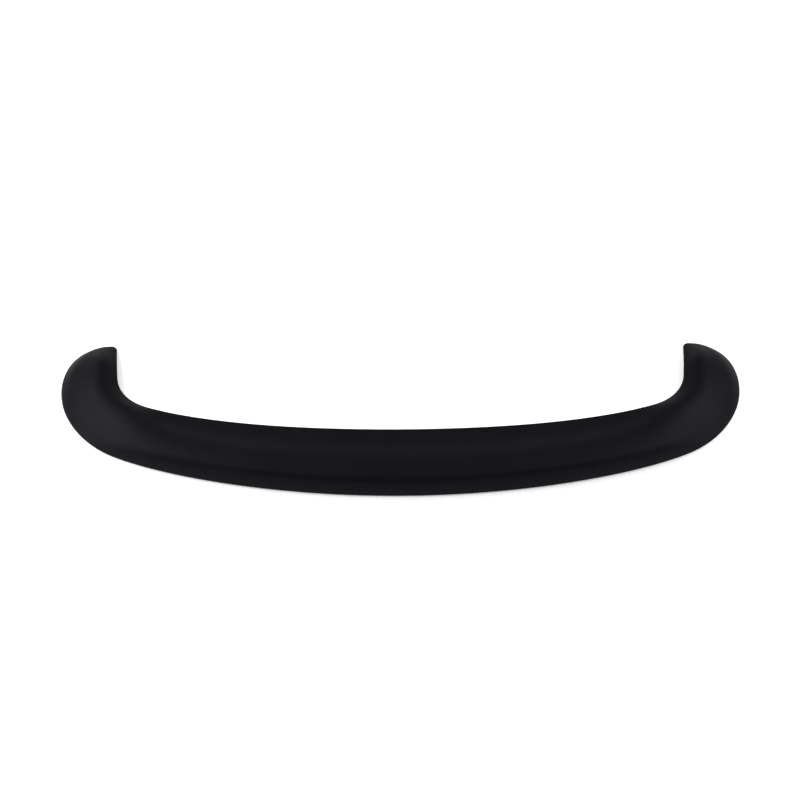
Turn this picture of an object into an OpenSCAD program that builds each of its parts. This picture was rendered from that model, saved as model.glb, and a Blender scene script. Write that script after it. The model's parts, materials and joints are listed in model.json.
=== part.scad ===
// Roof spoiler: one moulded blade with a horn curving forward at each end.
// Millimetres. X runs across the car, Y towards the front, Z up.
// The origin lies on the floor, at the middle of the part's width and depth.
// The part lies as it comes to rest, on its outer edge, which is level all round.

/* [Outline] */
// Width over both horns
overall_width = 1150; // [1000:5:1300]
// Depth from the trailing edge to the horn tips
overall_depth = 314; // [270:1:350]
// Distance from the leading edge to the trailing edge at the middle
centre_chord = 122; // [100:1:140]
// Width of a horn near its tip
horn_width = 87; // [72:1:98]
// Radius of the outer corner in plan
corner_radius = 183; // [150:1:205]
// Radius of the inner edge in plan where it sweeps into the corner
sweep_radius = 100; // [80:1:125]
// Radius of the inner corner in plan
inner_radius = 69; // [52:1:85]
// Inward lean of each horn's inner edge, in degrees
toe_in = 7.5; // [4:0.5:12]
// Radius of the small inner corner at each horn tip
nose_radius = 11; // [8:0.5:16]

/* [Section] */
// Height of the crest above the underside at the middle
crest_height = 31; // [22:0.5:36]
// Height of the dome above the underside at the horns
horn_height = 16; // [12:0.5:24]
// Thickness of the leading edge
edge_thickness = 5; // [3.5:0.25:7]
// Thickness of a horn's inner edge and tip
horn_edge = 5; // [4:0.5:9]
// Rise of the top surface at the leading edge, in degrees, at the middle
lead_angle = 6; // [2:1:12]
// Rise of the top surface at the horn's inner edge, in degrees
horn_lead_angle = 32; // [18:1:38]
// Length over which the rear face leans forward to the crest, at the middle
rear_lean = 12.5; // [6:0.5:16]
// Length over which a horn's outer face leans inward to its dome
horn_lean = 22; // [16:1:30]
// Upward kick of the top surface just before the crest, in degrees, at the middle
kick_angle = 0; // [-4:1:8]
// Fall of the horn's dome just before its outer face, in degrees
horn_fall = 10; // [4:1:18]
// Distance from the crest at which its rounding starts, at the middle
crest_round = 7.5; // [4:0.5:10]
// Distance from the top of a horn's outer face at which its rounding starts
horn_round = 28; // [18:1:32]
// Length over which a horn rounds down to its tip
tip_run = 60; // [45:1:80]
// Outward swell of the rear face
rear_swell = 3; // [0:0.25:4]
// Rounding of the lower trailing edge
lower_round = 3; // [1:0.5:4]

/* [Crest line] */
// Heading of the outer edge at which the crest line starts to fade, in degrees
fade_start = 10; // [6:1:18]
// Heading of the outer edge at which the crest line is gone, in degrees
fade_end = 29; // [24:1:50]

/* [Underside] */
// Rise of the underside from the trailing edge inward, in degrees, at the middle
seat_slope = 7; // [4:0.5:10]
// Rise of the underside from a horn's outer edge inward, in degrees
horn_seat_slope = 9; // [4:0.5:14]
// Width of the bonding land behind the leading edge
front_land = 18; // [12:1:24]
// Width of the bonding land before the trailing edge
rear_land = 16; // [12:1:22]
// Depth of the adhesive channel between the lands
channel_depth = 4; // [2:0.5:6]
// Run of the slope from a land to the channel floor
channel_ramp = 5; // [3:0.5:8]

/* [Hidden] */

// Headings of the outer edge between which each plan radius holds; it changes evenly from one to the next
bow_end = 8;
corner_start = 25.5;
corner_end = 55.5;
flank_start = 67.5;
flank_end = 84;
front_start = 117.5;
// The same for the inner edge
inner_bow_end = 1.5;
sweep_at = 18;
inner_corner_start = 63;

// Fineness of the plan curves, in degrees of heading
turn_step = 0.5;
// Numbers of stations along one half: middle bow, corner, horn and nose
bow_stations = 8;
corner_stations = 30;
horn_stations = 14;
nose_stations = 3;
// Part of the nose that the stations cover, before its end closes
nose_cover = 0.8;
// Numbers of steps round a section
lead_steps = 4;
top_steps = 12;
crest_steps = 6;
rear_steps = 4;
lower_steps = 3;
// Length of the top curve's handles, as part of its span
handle = 0.42;
// Heading of the outer edge at which the section has become the horn's
horn_from = 54;
// Largest lower rounding, as part of the height
round_share = 0.25;
// Chord at which the adhesive channel starts, as part of a horn's width
channel_from = 1 / 3;
// Place of the rear face's swell, from crest to lower edge
swell_place = 0.55;

half_width = overall_width / 2;
tip_heading = 90 - toe_in;

// Smooth step from 0 to 1
function ease(t) = let (u = min(max(t, 0), 1)) u * u * (3 - 2 * u);
function mix(a, b, t) = a + (b - a) * t;
function ray(angle) = [cos(angle), sin(angle)];
function left_of(v) = [-v.y, v.x];
function angle_of(v) = atan2(v.y, v.x);
function total(v) = [for (x = v) 1] * v;
function column(rows, k) = [for (r = rows) r[k]];
function curve2(a, b, c, t) = (1 - t) * (1 - t) * a + 2 * t * (1 - t) * b + t * t * c;
function curve3(a, b, c, d, t) = (1 - t) * curve2(a, b, c, t) + t * curve2(b, c, d, t);
// Running sums of a list of steps, from a start value
function running(steps, start) = [
    for (a = start, i = 0; i <= len(steps); a = i < len(steps) ? a + steps[i] : a, i = i + 1) a
];

// Plan curves: an edge is a chain of short arcs, each turning by turn_step.
// Shift of an arc of radius 1 between two headings
function arc_shift(h) = [sin(h + turn_step) - sin(h), cos(h) - cos(h + turn_step)];
// Share of each outer radius in the arc that starts at a heading: bow, corner, flank and front
function outer_shares(h) = let (m = h + turn_step / 2) [
    lookup(m, [[bow_end, 1], [corner_start, 0]]),
    lookup(m, [[bow_end, 0], [corner_start, 1], [corner_end, 1], [flank_start, 0]]),
    lookup(m, [[corner_end, 0], [flank_start, 1], [flank_end, 1], [front_start, 0]]),
    lookup(m, [[flank_end, 0], [front_start, 1]])
];
// The same for the inner edge: bow, sweep and corner
function inner_shares(h) = let (m = h + turn_step / 2) [
    lookup(m, [[inner_bow_end, 1], [sweep_at, 0]]),
    lookup(m, [[inner_bow_end, 0], [sweep_at, 1], [inner_corner_start, 0]]),
    lookup(m, [[sweep_at, 0], [inner_corner_start, 1]])
];
// How far each radius of 1 carries the edge, along x and y
function reach(shares) = [
    total([for (s = shares) s[1] * arc_shift(s[0]).x]),
    total([for (s = shares) s[1] * arc_shift(s[0]).y])
];
// Rows of length run, x and y along an edge
function rail(shares, radii, start) = running(
    [for (s = shares) let (r = s[1] * radii, shift = r * arc_shift(s[0]))
        [r * turn_step * PI / 180, shift.x, shift.y]],
    [0, start.x, start.y]
);
function at(rail, run) = [
    lookup(run, [for (r = rail) [r[0], r[1]]]),
    lookup(run, [for (r = rail) [r[0], r[2]]])
];

outer_half = [for (h = [0:turn_step:90 - turn_step]) [h, outer_shares(h)]];
outer_front = [for (h = [90:turn_step:180 - turn_step]) [h, outer_shares(h)]];
outer_all = concat(outer_half, outer_front);
side_reach = reach(outer_half).x;
tip_reach = reach(outer_all);
nose_centre = [half_width - horn_width + nose_radius, overall_depth - nose_radius];

// The bow, flank and front radii follow from the width, the horn and the depth
goal = [half_width, nose_centre.x, overall_depth] - corner_radius * reach_of(1);
function reach_of(k) = [side_reach[k], tip_reach.x[k], tip_reach.y[k]];
whole = reach_of(0) * cross(reach_of(2), reach_of(3));
bow_radius = goal * cross(reach_of(2), reach_of(3)) / whole;
flank_radius = reach_of(0) * cross(goal, reach_of(3)) / whole;
front_radius = reach_of(0) * cross(reach_of(2), goal) / whole;
outer_rail = rail(outer_all, [bow_radius, corner_radius, flank_radius, front_radius], [0, 0]);

// The inner bow's radius follows from where the horn's inner edge has to pass
inner_all = [for (h = [0:turn_step:tip_heading - turn_step]) [h, inner_shares(h)]];
inner_reach = reach(inner_all);
horn_line = ray(tip_heading);
nose_foot = nose_centre + nose_radius * left_of(horn_line);
inner_goal = nose_foot - [0, centre_chord]
    - sweep_radius * [inner_reach.x[1], inner_reach.y[1]]
    - inner_radius * [inner_reach.x[2], inner_reach.y[2]];
inner_bow_radius = cross(inner_goal, horn_line) / cross([inner_reach.x[0], inner_reach.y[0]], horn_line);
inner_rail = rail(inner_all, [inner_bow_radius, sweep_radius, inner_radius], [0, centre_chord]);

// Lengths run at the ends of the stretches: bow, corner and front
function run_at(heading) = outer_rail[round(heading / turn_step)][0];
outer_bow_run = run_at(bow_end);
outer_corner_run = run_at(90);
outer_front_run = run_at(180);
inner_bow_run = outer_bow_run * (1 - centre_chord / bow_radius);
inner_corner_run = inner_rail[len(inner_rail) - 1][0];
inner_corner_end = at(inner_rail, inner_corner_run);
function heading_at(run) = lookup(
    run,
    [for (i = [0:len(outer_rail) - 1]) [outer_rail[i][0], i * turn_step]]
);

// Stations along the right half: inner point, outer point, heading of the outer edge, distance from the tip
function station(inner_run, outer_run) = let (outer = at(outer_rail, outer_run)) [
    at(inner_rail, inner_run),
    outer,
    heading_at(outer_run),
    overall_depth - outer.y
];
bow = [
    for (k = [0:bow_stations - 1]) let (t = k / bow_stations)
    station(inner_bow_run * t, outer_bow_run * t)
];
corner = [
    for (k = [0:corner_stations - 1]) let (t = k / corner_stations)
    station(mix(inner_bow_run, inner_corner_run, t), mix(outer_bow_run, outer_corner_run, t))
];
horn = [
    for (k = [0:horn_stations]) let (
        t = k / horn_stations,
        run = mix(outer_corner_run, outer_front_run, t),
        outer = at(outer_rail, run)
    )
    [mix(inner_corner_end, nose_foot, t), outer, heading_at(run), overall_depth - outer.y]
];
foot_angle = tip_heading + 90;
nose_angle = (foot_angle + 90) / 2;
nose = [
    for (k = [1:nose_stations]) let (t = nose_cover * k / nose_stations)
    [
        nose_centre + nose_radius * ray(mix(foot_angle, nose_angle, t)),
        nose_centre + nose_radius * ray(mix(90, nose_angle, t)),
        180,
        0
    ]
];
right_half = concat(bow, corner, horn, nose);

// Share of the horn in the section at a heading
function horn_share(heading) = ease((heading - bow_end) / (horn_from - bow_end));

// Section outline at a station, in chord direction and height. It runs from the leading edge over the top
// and back below; to_tip is the station's distance from the horn's tip
function section(chord, heading, to_tip) = let (
    to_horn = horn_share(heading),
    fade = ease((heading - fade_start) / (fade_end - fade_start)),
    thinning = 1 - min(1, max(0, to_tip / tip_run)),
    dome = sqrt(1 - thinning * thinning),
    edge = min(mix(edge_thickness, horn_edge, to_horn), chord),
    full_height = mix(crest_height, horn_height, to_horn),
    height = mix(edge, full_height, dome),
    slim = min(1, chord / horn_width) * height / full_height,
    rise = mix(lead_angle, horn_lead_angle, to_horn) * dome,
    kick = mix(kick_angle, -horn_fall, to_horn) * dome,
    lean = mix(rear_lean, horn_lean, to_horn) * slim,
    round = mix(crest_round, horn_round, fade) * slim,
    lead_centre = [edge / 2, edge / 2],
    top_start = lead_centre + edge / 2 * ray(90 + rise),
    crest = [chord - lean, height],
    top_end = crest - round * ray(kick),
    span = norm(top_end - top_start) * handle,
    low = min(lower_round, round_share * height),
    low_centre = [chord - low, low],
    face = [chord, 0] - crest,
    swell = crest + swell_place * face + rear_swell * dome * left_of(face) / norm(face),
    face_start = crest + min(round / norm(swell - crest), swell_place) * (swell - crest),
    face_turn = angle_of(swell - low_centre) - 90,
    face_end = low_centre + low * ray(face_turn),
    land_share = min(1, chord / centre_chord),
    depth = channel_depth * ease((chord / horn_width - channel_from) / (1 - channel_from)),
    front = front_land * land_share,
    rear = chord - rear_land * land_share,
    ramp = channel_ramp * land_share
) concat(
    [for (k = [0:lead_steps - 1]) lead_centre + edge / 2 * ray(mix(270, 90 + rise, k / lead_steps))],
    [for (k = [0:top_steps - 1])
        curve3(top_start, top_start + span * ray(rise), top_end - span * ray(kick), top_end, k / top_steps)],
    [for (k = [0:crest_steps - 1]) curve2(top_end, crest, face_start, k / crest_steps)],
    [for (k = [0:rear_steps - 1]) curve2(face_start, swell, face_end, k / rear_steps)],
    [for (k = [0:lower_steps]) low_centre + low * ray(mix(face_turn, -90, k / lower_steps))],
    [[rear, 0], [rear - ramp, depth], [(front + rear) / 2, depth], [front + ramp, depth], [front, 0]]
);

// Rise of the underside per length inward from the outer edge, which lies on the floor all along
function seat_rise(heading) = tan(mix(seat_slope, horn_seat_slope, horn_share(heading)));

// Ring of points at a station; side is 1 on the right and -1 on the left
function ring(station, side) = let (
    from = station[0],
    along = station[1] - station[0],
    chord = norm(along),
    rise = seat_rise(station[2])
) [
    for (q = section(chord, station[2], station[3])) let (p = from + along * q.x / chord)
    [side * p.x, p.y - overall_depth / 2, rise * (chord - q.x) + q.y]
];

last = len(right_half) - 1;
rings = concat(
    [for (k = [last:-1:1]) ring(right_half[k], -1)],
    [for (k = [0:last]) ring(right_half[k], 1)]
);
around = len(rings[0]);
floor_level = min([for (r = rings) min(column(r, 2))]);

// Skin over the rings, each quad split so that the two halves mirror each other
function quad(a, b, c, d, flip) = flip ? [[a, b, c], [a, c, d]] : [[a, b, d], [b, c, d]];
skin = [
    for (i = [0:len(rings) - 2]) for (j = [0:around - 1]) let (n = (j + 1) % around)
    each quad(i * around + j, (i + 1) * around + j, (i + 1) * around + n, i * around + n, i < last)
];
left_end = [for (j = [0:around - 1]) j];
right_end = [for (j = [around - 1:-1:0]) (len(rings) - 1) * around + j];

module spoiler() {
    color("#1c1b1e")
    translate([0, 0, -floor_level])
    polyhedron(points = [for (r = rings) each r], faces = concat(skin, [left_end, right_end]));
}

spoiler();
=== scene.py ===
import json
import math

import bpy
from mathutils import Matrix, Vector

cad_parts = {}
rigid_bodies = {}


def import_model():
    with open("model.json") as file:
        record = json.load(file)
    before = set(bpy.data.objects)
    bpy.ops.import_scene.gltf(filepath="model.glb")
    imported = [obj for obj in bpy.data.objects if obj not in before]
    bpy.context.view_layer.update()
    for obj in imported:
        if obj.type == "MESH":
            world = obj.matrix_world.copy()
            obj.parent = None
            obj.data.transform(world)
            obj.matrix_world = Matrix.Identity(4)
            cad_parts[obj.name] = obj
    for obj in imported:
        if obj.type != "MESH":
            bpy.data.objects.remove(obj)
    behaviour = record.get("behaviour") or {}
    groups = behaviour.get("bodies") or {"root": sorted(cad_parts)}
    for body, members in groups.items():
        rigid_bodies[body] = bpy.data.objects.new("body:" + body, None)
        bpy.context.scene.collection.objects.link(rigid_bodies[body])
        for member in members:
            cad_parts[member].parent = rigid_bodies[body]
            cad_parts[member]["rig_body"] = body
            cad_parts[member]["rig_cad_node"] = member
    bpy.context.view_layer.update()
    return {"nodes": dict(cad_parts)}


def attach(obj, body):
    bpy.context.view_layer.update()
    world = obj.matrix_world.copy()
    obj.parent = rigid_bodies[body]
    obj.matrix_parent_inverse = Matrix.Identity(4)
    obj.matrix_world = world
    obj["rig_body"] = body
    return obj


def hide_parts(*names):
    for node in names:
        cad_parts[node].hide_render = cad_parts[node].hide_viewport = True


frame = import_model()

# One moulded roof spoiler in satin black, lying outer face up on a white floor.
# Lengths are metres, and mm turns a size in millimetres into metres.
mm = 0.001
nodeGap = 220  # between the nodes of a material, which stand in a row


def linearColour(hexCode):
    # sRGB hex to the linear values that the shader sockets take
    parts = [int(hexCode[i:i + 2], 16) / 255 for i in (1, 3, 5)]
    return [c / 12.92 if c <= 0.04045 else ((c + 0.055) / 1.055) ** 2.4 for c in parts] + [1]


def addNode(tree, kind, settings, links=()):
    # a setting goes to the socket of that name or number, or else to the node's own property
    node = tree.nodes.new(kind)
    node.location = (nodeGap * len(tree.nodes), 0)
    for name, value in settings.items():
        if isinstance(name, int) or name in node.inputs:
            node.inputs[name].default_value = value
        else:
            setattr(node, name, value)
    for source, name in links:
        tree.links.new(source, node.inputs[name])
    return node


def emptyMaterial(name):
    material = bpy.data.materials.new(name)
    material.use_nodes = True
    material.node_tree.nodes.clear()
    return material


def pickOnly(piece):
    # an operator acts on all that is selected, so nothing else may be
    if bpy.context.active_object and bpy.context.active_object.mode != "OBJECT":
        bpy.ops.object.mode_set(mode="OBJECT")
    bpy.ops.object.select_all(action="DESELECT")
    piece.select_set(True)
    bpy.context.view_layer.objects.active = piece


# Spoiler skin
skin = {
    "mergeWithin": 0.005 * mm,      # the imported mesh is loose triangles
    "quadAngle": 40,                # degrees across which two triangles become a quad again
    "quadSkew": 180,                # degrees a quad's corners may be out of square; any will do
    "subdivisions": 2,
    "smoothAngle": 60,
}


def mouldSkin():
    pickOnly(frame["nodes"]["spoiler"])
    bpy.ops.object.duplicate(linked=False)
    piece = bpy.context.active_object
    piece.name = piece.data.name = "spoiler_skin"
    bpy.ops.object.parent_clear(type="CLEAR_KEEP_TRANSFORM")
    for note in ("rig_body", "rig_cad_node"):  # the copy is no CAD node any more
        if note in piece:
            del piece[note]
    bpy.ops.object.mode_set(mode="EDIT")
    bpy.ops.mesh.select_all(action="SELECT")
    bpy.ops.mesh.remove_doubles(threshold=skin["mergeWithin"])
    bpy.ops.mesh.tris_convert_to_quads(
        face_threshold=math.radians(skin["quadAngle"]),
        shape_threshold=math.radians(skin["quadSkew"]))
    bpy.ops.object.mode_set(mode="OBJECT")
    rounder = piece.modifiers.new("rounder", "SUBSURF")
    rounder.levels = rounder.render_levels = skin["subdivisions"]
    bpy.ops.object.modifier_apply(modifier=rounder.name)
    bpy.ops.object.shade_smooth_by_angle(angle=math.radians(skin["smoothAngle"]))
    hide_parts("spoiler")
    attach(piece, "root")
    return piece


# Integral-skin polyurethane foam, moulded in a finely blasted tool and left unpainted:
# a deep black with a faint violet cast, and a soft sheen broken up by fine grain.
blackSkin = {
    "colour": "#0e0f11",
    "dryColour": "#101113",         # where the skin came out a touch drier
    "cloudSize": 70 * mm,           # slow change of sheen across the moulding
    "cloudDetail": 3.0,
    "cloudRange": (0.35, 0.65),     # the noise values that give the two ends of the roughness
    "roughness": (0.45, 0.51),
    "specular": 0.084,
    "sheenTint": "#f3e5ff",
    "grainSize": 1.6 * mm,          # the tool's blast grain is 0.3 mm; drawn coarser so that it shows
    "grainDetail": 2.0,
    "grainHeight": 0.02 * mm,
}


def mouldedBlack():
    m = blackSkin
    material = emptyMaterial("moulded polyurethane skin, black")
    tree = material.node_tree
    place = addNode(tree, "ShaderNodeTexCoord", {})
    clouds = addNode(tree, "ShaderNodeTexNoise",
                     {"Scale": 1 / m["cloudSize"], "Detail": m["cloudDetail"]},
                     [(place.outputs["Object"], "Vector")])
    sheen = addNode(tree, "ShaderNodeMapRange",
                    {"From Min": m["cloudRange"][0], "From Max": m["cloudRange"][1],
                     "To Min": m["roughness"][0], "To Max": m["roughness"][1]},
                    [(clouds.outputs["Fac"], "Value")])
    # sockets 6 and 7 are the mix node's two colours, and output 2 its mixed colour
    tint = addNode(tree, "ShaderNodeMix",
                   {"data_type": "RGBA", 6: linearColour(m["colour"]), 7: linearColour(m["dryColour"])},
                   [(clouds.outputs["Fac"], 0)])
    grain = addNode(tree, "ShaderNodeTexNoise",
                    {"Scale": 1 / m["grainSize"], "Detail": m["grainDetail"]},
                    [(place.outputs["Object"], "Vector")])
    relief = addNode(tree, "ShaderNodeBump", {"Strength": 1.0, "Distance": m["grainHeight"]},
                     [(grain.outputs["Fac"], "Height")])
    shader = addNode(tree, "ShaderNodeBsdfPrincipled",
                     {"Specular IOR Level": m["specular"],
                      "Specular Tint": linearColour(m["sheenTint"])},
                     [(tint.outputs[2], "Base Color"), (sheen.outputs["Result"], "Roughness"),
                      (relief.outputs["Normal"], "Normal")])
    addNode(tree, "ShaderNodeOutputMaterial", {}, [(shader.outputs["BSDF"], "Surface")])
    return material


print("moulding the spoiler's skin")
spoilerSkin = mouldSkin()
spoilerSkin.data.materials.clear()
spoilerSkin.data.materials.append(mouldedBlack())


# White studio floor. The lamps leave it a little grey, and greyer far off, so it gets a glow
# that only rays from the camera, in reflections and through glass see. The glow is stronger in
# a band across, where the horns shade the floor: painted light that fills their shadows there. It also
# rises far away.
studioFloor = {
    "width": 30.0,
    "colour": "#f6f6f6",
    "roughness": 0.9,
    "glow": 0.24,
    # painted light: the extra glow in the band fills the shadows that the horns cast on the floor
    "shadowFillGlow": 0.5,
    "bandPlace": 80 * mm,           # how far the band's middle lies forward of the spoiler's
    "bandFull": 80 * mm,            # full up to this distance from the band's middle
    "bandGone": 190 * mm,           # gone from this one on
    "farGlow": 1.0,
    "farFrom": 0.35,                # distances from the spoiler's middle between which it rises
    "farTo": 1.7,
}


def layFloor():
    bpy.ops.object.select_all(action="DESELECT")
    bpy.ops.mesh.primitive_plane_add(size=studioFloor["width"], location=(0, 0, 0))
    floor = bpy.context.active_object
    floor.name = "studio_floor"
    material = emptyMaterial("matt white studio floor")
    tree = material.node_tree
    ray = addNode(tree, "ShaderNodeLightPath", {})
    seenStraight = addNode(tree, "ShaderNodeMath", {"operation": "MAXIMUM"},
                           [(ray.outputs["Is Camera Ray"], 0), (ray.outputs["Is Transmission Ray"], 1)])
    seen = addNode(tree, "ShaderNodeMath", {"operation": "MAXIMUM"},
                   [(seenStraight.outputs["Value"], 0), (ray.outputs["Is Glossy Ray"], 1)])
    place = addNode(tree, "ShaderNodeTexCoord", {})
    split = addNode(tree, "ShaderNodeSeparateXYZ", {}, [(place.outputs["Object"], "Vector")])
    distance = addNode(tree, "ShaderNodeVectorMath", {"operation": "LENGTH"},
                       [(place.outputs["Object"], 0)])
    offset = addNode(tree, "ShaderNodeMath", {"operation": "SUBTRACT", 1: studioFloor["bandPlace"]},
                     [(split.outputs["Y"], 0)])
    fromBand = addNode(tree, "ShaderNodeMath", {"operation": "ABSOLUTE"},
                       [(offset.outputs["Value"], 0)])
    # painted light: inside the band the floor glows brighter and fills the horns' shadows
    nearLevel = addNode(tree, "ShaderNodeMapRange",
                        {"From Min": studioFloor["bandFull"], "From Max": studioFloor["bandGone"],
                         "To Min": studioFloor["shadowFillGlow"], "To Max": studioFloor["glow"]},
                        [(fromBand.outputs["Value"], "Value")])
    farLevel = addNode(tree, "ShaderNodeMapRange",
                       {"From Min": studioFloor["farFrom"], "From Max": studioFloor["farTo"],
                        "To Min": 0.0, "To Max": studioFloor["farGlow"]},
                       [(distance.outputs["Value"], "Value")])
    level = addNode(tree, "ShaderNodeMath", {"operation": "MAXIMUM"},
                    [(nearLevel.outputs["Result"], 0), (farLevel.outputs["Result"], 1)])
    glow = addNode(tree, "ShaderNodeMath", {"operation": "MULTIPLY"},
                   [(seen.outputs["Value"], 0), (level.outputs["Value"], 1)])
    shader = addNode(tree, "ShaderNodeBsdfPrincipled",
                     {"Base Color": linearColour(studioFloor["colour"]),
                      "Roughness": studioFloor["roughness"],
                      "Specular IOR Level": 0.0, "Emission Color": (1, 1, 1, 1)},
                     [(glow.outputs["Value"], "Emission Strength")])
    addNode(tree, "ShaderNodeOutputMaterial", {}, [(shader.outputs["BSDF"], "Surface")])
    floor.data.materials.append(material)


# Soft boxes, all of one make and equally far from the spoiler, which they face
softBox = {"size": (1.4, 1.0), "away": 2.2}  # size is width and height
softBoxPlaces = {
    "left": {"azimuth": -100, "elevation": 45, "watts": 28.0},
    "left_low": {"azimuth": -75, "elevation": 20, "watts": 14.0},
    "left_front": {"azimuth": -135, "elevation": 45, "watts": 5.5},
    "right": {"azimuth": 100, "elevation": 45, "watts": 18.6},
    "right_low": {"azimuth": 75, "elevation": 20, "watts": 8.8},
    "right_front": {"azimuth": 135, "elevation": 45, "watts": 3.8},
}
# White studio walls, fading to a dark overhead between two heights, those of a point that is
# seen in a direction from one metre away.
surround = {
    "colour": "#ffffff",
    "wall": 1.0,
    "overhead": 0.1,
    "fadeFrom": 0.0,
    "fadeTo": 0.22,
}


def placeOnSphere(azimuth, elevation, away):
    # azimuth 0 lies behind the car, where the camera stands, and 90 to its right
    a, e = math.radians(azimuth), math.radians(elevation)
    return away * Vector((math.sin(a) * math.cos(e), -math.cos(a) * math.cos(e), math.sin(e)))


def hangLamps():
    for name, box in softBoxPlaces.items():
        spot = placeOnSphere(box["azimuth"], box["elevation"], softBox["away"])
        bpy.ops.object.select_all(action="DESELECT")
        bpy.ops.object.light_add(type="AREA", location=spot)
        lamp = bpy.context.active_object
        lamp.name = name + "_soft_box"
        lamp.data.shape = "RECTANGLE"
        lamp.data.size, lamp.data.size_y = softBox["size"]
        lamp.data.energy = box["watts"]
        lamp.rotation_euler = spot.to_track_quat("Z", "Y").to_euler()
    world = bpy.data.worlds.new("studio")
    world.use_nodes = True
    tree = world.node_tree
    direction = addNode(tree, "ShaderNodeTexCoord", {})
    split = addNode(tree, "ShaderNodeSeparateXYZ", {}, [(direction.outputs["Generated"], "Vector")])
    fade = addNode(tree, "ShaderNodeMapRange",
                   {"From Min": surround["fadeFrom"], "From Max": surround["fadeTo"],
                    "To Min": surround["wall"], "To Max": surround["overhead"]},
                   [(split.outputs["Z"], "Value")])
    back = tree.nodes["Background"]
    back.inputs["Color"].default_value = linearColour(surround["colour"])
    tree.links.new(fade.outputs["Result"], back.inputs["Strength"])
    bpy.context.scene.world = world


# Camera, as the picture was taken: from behind and well above, almost square on
shot = {
    "azimuth": -0.61,
    "elevation": 52.54,
    "roll": 0.13,
    "away": 2686.6 * mm,
    "aim": (-1.76 * mm, 27.92 * mm, 15 * mm),
    "focalLength": 72.17,           # in mm, as Blender's camera takes it
    "sensorWidth": 36,
}


def setCamera():
    back = placeOnSphere(shot["azimuth"], shot["elevation"], 1)
    level = Vector((-back.y, back.x, 0)).normalized()
    upright = back.cross(level)
    roll = math.radians(shot["roll"])
    right = level * math.cos(roll) + upright * math.sin(roll)
    top = upright * math.cos(roll) - level * math.sin(roll)
    stand = Vector(shot["aim"]) + back * shot["away"]
    camera = bpy.data.objects.new("camera", bpy.data.cameras.new("camera"))
    bpy.context.scene.collection.objects.link(camera)
    camera.matrix_world = Matrix.Translation(stand) @ Matrix((right, top, back)).transposed().to_4x4()
    camera.data.sensor_width = shot["sensorWidth"]
    camera.data.lens = shot["focalLength"]
    bpy.context.scene.camera = camera


print("laying the floor, hanging the lamps and setting the camera")
layFloor()
hangLamps()
setCamera()
bpy.context.scene.view_settings.view_transform = "Standard"

print("spoiler finished")
